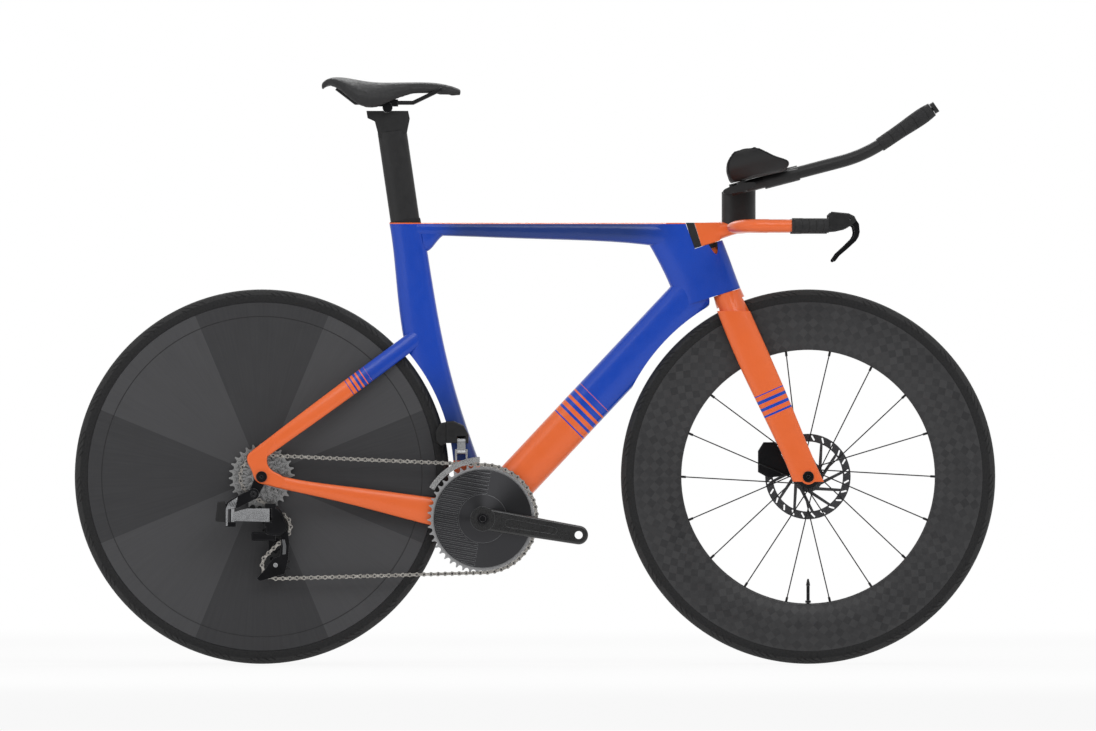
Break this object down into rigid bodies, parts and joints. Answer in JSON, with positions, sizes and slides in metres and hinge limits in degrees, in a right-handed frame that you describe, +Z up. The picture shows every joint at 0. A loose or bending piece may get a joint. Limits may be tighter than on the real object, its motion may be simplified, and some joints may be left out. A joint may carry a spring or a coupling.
{
  "type": "time trial bike",
  "caption": "Time trial bicycle with an aero frame, closed disc rear wheel, deep front rim, base bar with extensions and disc brakes",
  "frame": {"origin": "on the ground, midway between the two axles, in the middle plane", "axes": "+X forward, +Y to the rider's left, +Z up; the drive side is -Y"},
  "size_m": [1.657, 0.4068, 1.0542],
  "materials": {
    "blue_paint": "satin metallic blue lacquer on carbon",
    "orange_paint": "satin orange lacquer on carbon",
    "black_carbon": "bare satin carbon",
    "tyre_rubber": "smooth black road tread",
    "grip_rubber": "fine textured black rubber",
    "black_alloy": "black anodised",
    "gloss_cover": "polished black",
    "silver_steel": "satin nickel plated",
    "black_steel": "black coated",
    "silver_alloy": "satin silver anodised",
    "black_plastic": "moulded black",
    "pad_compound": "sintered brake compound",
    "saddle_skin": "matt black cover",
    "foam": "black fabric faced foam"
  },
  "bodies": {
    "root": {"front_triangle": "blue_paint", "chain_stays": "orange_paint", "seat_stays": "orange_paint", "derailleur_hanger": "black_alloy", "frame_bearings": "silver_steel", "seatpost_seal": "grip_rubber", "rear_thru_axle": "black_alloy", "rear_caliper": "black_alloy", "rd_base_knuckle": "black_alloy", "rd_battery": "black_plastic", "fd_body": "black_plastic", "fd_battery": "black_plastic", "chain": "silver_steel"},
    "steering": {"fork": "orange_paint", "front_thru_axle": "black_alloy", "base_bar": "orange_paint", "top_tube_cover": "black_carbon", "base_grips": "grip_rubber", "lever_bodies": "black_alloy", "extensions": "black_carbon", "extension_grips": "grip_rubber", "arm_cups": "black_carbon", "arm_pads": "foam", "riser": "black_carbon", "front_caliper": "black_alloy"},
    "front_wheel": {"front_tyre": "tyre_rubber", "front_rim": "black_carbon", "front_spokes": "black_steel", "front_hub": "black_alloy", "front_rotor": "silver_steel", "front_valve": "black_steel"},
    "rear_wheel": {"rear_tyre": "tyre_rubber", "rear_disc": "black_carbon", "rear_hub": "black_alloy", "rear_rotor": "silver_steel"},
    "cassette": {"cassette": "silver_steel"},
    "crank": {"crank_arm_right": "black_carbon", "crank_arm_left": "black_carbon", "chainrings": "silver_steel", "chainring_cover": "gloss_cover"},
    "seatpost": {"seatpost": "black_carbon"},
    "saddle": {"saddle_clamp": "black_alloy", "saddle_rails": "black_steel", "saddle_cover": "saddle_skin"},
    "rd_outer_link": {"rd_outer_link": "silver_alloy"},
    "rd_inner_link": {"rd_inner_link": "silver_alloy"},
    "rd_knuckle": {"rd_moving_knuckle": "black_alloy"},
    "rd_cage": {"rd_cage": "black_alloy"},
    "rd_upper_pulley": {"rd_upper_pulley": "black_plastic"},
    "rd_lower_pulley": {"rd_lower_pulley": "black_plastic"},
    "fd_link": {"fd_link": "silver_alloy"},
    "fd_cage": {"fd_cage": "silver_steel"},
    "brake_lever_right": {"brake_lever_right": "black_alloy"},
    "brake_lever_left": {"brake_lever_left": "black_alloy"},
    "shift_button_right": {"shift_button_right": "black_plastic"},
    "shift_button_left": {"shift_button_left": "black_plastic"},
    "front_pad_inner": {"front_pad_inner": "pad_compound"},
    "front_pad_outer": {"front_pad_outer": "pad_compound"},
    "rear_pad_inner": {"rear_pad_inner": "pad_compound"},
    "rear_pad_outer": {"rear_pad_outer": "pad_compound"}
  },
  "joints": [
    {"name": "steering", "type": "hinge", "parent": "root", "child": "steering", "pos_m": [0.45049, 0, 0.32407], "axis": [-0.3007, 0, 0.9537], "range_deg": [-35, 35]},
    {"name": "front_wheel_spin", "type": "hinge", "parent": "steering", "child": "front_wheel", "pos_m": [0.4915, 0, 0.337], "axis": [0, 1, 0], "continuous": true},
    {"name": "rear_wheel_spin", "type": "hinge", "parent": "root", "child": "rear_wheel", "pos_m": [-0.4915, 0, 0.337], "axis": [0, 1, 0], "continuous": true},
    {"name": "crank_spin", "type": "hinge", "parent": "root", "child": "crank", "pos_m": [-0.094, 0, 0.2614], "axis": [0, 1, 0], "continuous": true, "deforming": ["chain"]},
    {"name": "cassette_spin", "type": "hinge", "parent": "root", "child": "cassette", "pos_m": [-0.4915, 0, 0.337], "axis": [0, 1, 0], "continuous": true},
    {"name": "seatpost_height", "type": "slide", "parent": "root", "child": "seatpost", "axis": [-0.1444, 0, 0.9895], "range_m": [-0.028, 0.03]},
    {"name": "saddle_tilt", "type": "hinge", "parent": "seatpost", "child": "saddle", "pos_m": [-0.2654, 0, 1.00132], "axis": [0, 1, 0], "range_deg": [-8, 8]},
    {"name": "rd_shift", "type": "hinge", "parent": "root", "child": "rd_outer_link", "pos_m": [-0.5435, -0.093, 0.256], "axis": [0, 0, 1], "range_deg": [-23, 13]},
    {"name": "rd_inner_link_turn", "type": "hinge", "parent": "root", "child": "rd_inner_link", "pos_m": [-0.5435, -0.076, 0.256], "axis": [0, 0, 1], "range_deg": [-23, 13]},
    {"name": "rd_knuckle_turn", "type": "hinge", "parent": "rd_outer_link", "child": "rd_knuckle", "pos_m": [-0.4795, -0.093, 0.256], "axis": [0, 0, 1], "range_deg": [-13, 23]},
    {"name": "rd_cage_swing", "type": "hinge", "parent": "rd_knuckle", "child": "rd_cage", "pos_m": [-0.466, 0, 0.252], "axis": [0, 1, 0], "range_deg": [-35, 25], "stiffness_Nm_per_rad": 1.2},
    {"name": "rd_upper_pulley_spin", "type": "hinge", "parent": "rd_cage", "child": "rd_upper_pulley", "pos_m": [-0.464, 0, 0.247], "axis": [0, 1, 0], "continuous": true},
    {"name": "rd_lower_pulley_spin", "type": "hinge", "parent": "rd_cage", "child": "rd_lower_pulley", "pos_m": [-0.46656, 0, 0.17805], "axis": [0, 1, 0], "continuous": true},
    {"name": "fd_shift", "type": "hinge", "parent": "root", "child": "fd_link", "pos_m": [-0.1325, -0.034, 0.4034], "axis": [1, 0, 0], "range_deg": [0, 16]},
    {"name": "fd_cage_turn", "type": "hinge", "parent": "fd_link", "child": "fd_cage", "pos_m": [-0.1325, -0.034, 0.3814], "axis": [1, 0, 0], "range_deg": [-16, 0]},
    {"name": "brake_lever_right", "type": "hinge", "parent": "steering", "child": "brake_lever_right", "pos_m": [0.5656, -0.19, 0.8005], "axis": [0, 1, 0], "range_deg": [0, 30], "stiffness_Nm_per_rad": 0.6, "springref_deg": -17.19},
    {"name": "brake_lever_left", "type": "hinge", "parent": "steering", "child": "brake_lever_left", "pos_m": [0.5656, 0.19, 0.8005], "axis": [0, 1, 0], "range_deg": [0, 30], "stiffness_Nm_per_rad": 0.6, "springref_deg": -17.19},
    {"name": "shift_button_right", "type": "slide", "parent": "steering", "child": "shift_button_right", "axis": [-0.8262, 0, -0.5633], "range_m": [0, 0.002], "stiffness_N_per_m": 900, "springref_m": -0.001},
    {"name": "shift_button_left", "type": "slide", "parent": "steering", "child": "shift_button_left", "axis": [-0.8262, 0, -0.5633], "range_m": [0, 0.002], "stiffness_N_per_m": 900, "springref_m": -0.001},
    {"name": "front_pad_inner", "type": "slide", "parent": "steering", "child": "front_pad_inner", "axis": [0, 1, 0], "range_m": [0, 0.0004]},
    {"name": "front_pad_outer", "type": "slide", "parent": "steering", "child": "front_pad_outer", "axis": [0, -1, 0], "range_m": [0, 0.0004]},
    {"name": "rear_pad_inner", "type": "slide", "parent": "root", "child": "rear_pad_inner", "axis": [0, 1, 0], "range_m": [0, 0.0004]},
    {"name": "rear_pad_outer", "type": "slide", "parent": "root", "child": "rear_pad_outer", "axis": [0, -1, 0], "range_m": [0, 0.0004]}
  ],
  "couplings": [
    {"joint": "cassette_spin", "follows": "crank_spin", "ratio": 2.5263},
    {"joint": "rd_upper_pulley_spin", "follows": "crank_spin", "ratio": -4},
    {"joint": "rd_lower_pulley_spin", "follows": "crank_spin", "ratio": 4},
    {"joint": "rd_inner_link_turn", "follows": "rd_shift", "ratio": 1},
    {"joint": "rd_knuckle_turn", "follows": "rd_shift", "ratio": -1},
    {"joint": "fd_cage_turn", "follows": "fd_shift", "ratio": -1},
    {"joint": "front_pad_inner", "follows": "brake_lever_left", "m_per_rad": 0.00076},
    {"joint": "front_pad_outer", "follows": "brake_lever_left", "m_per_rad": 0.00076},
    {"joint": "rear_pad_inner", "follows": "brake_lever_right", "m_per_rad": 0.00076},
    {"joint": "rear_pad_outer", "follows": "brake_lever_right", "m_per_rad": 0.00076}
  ]
}
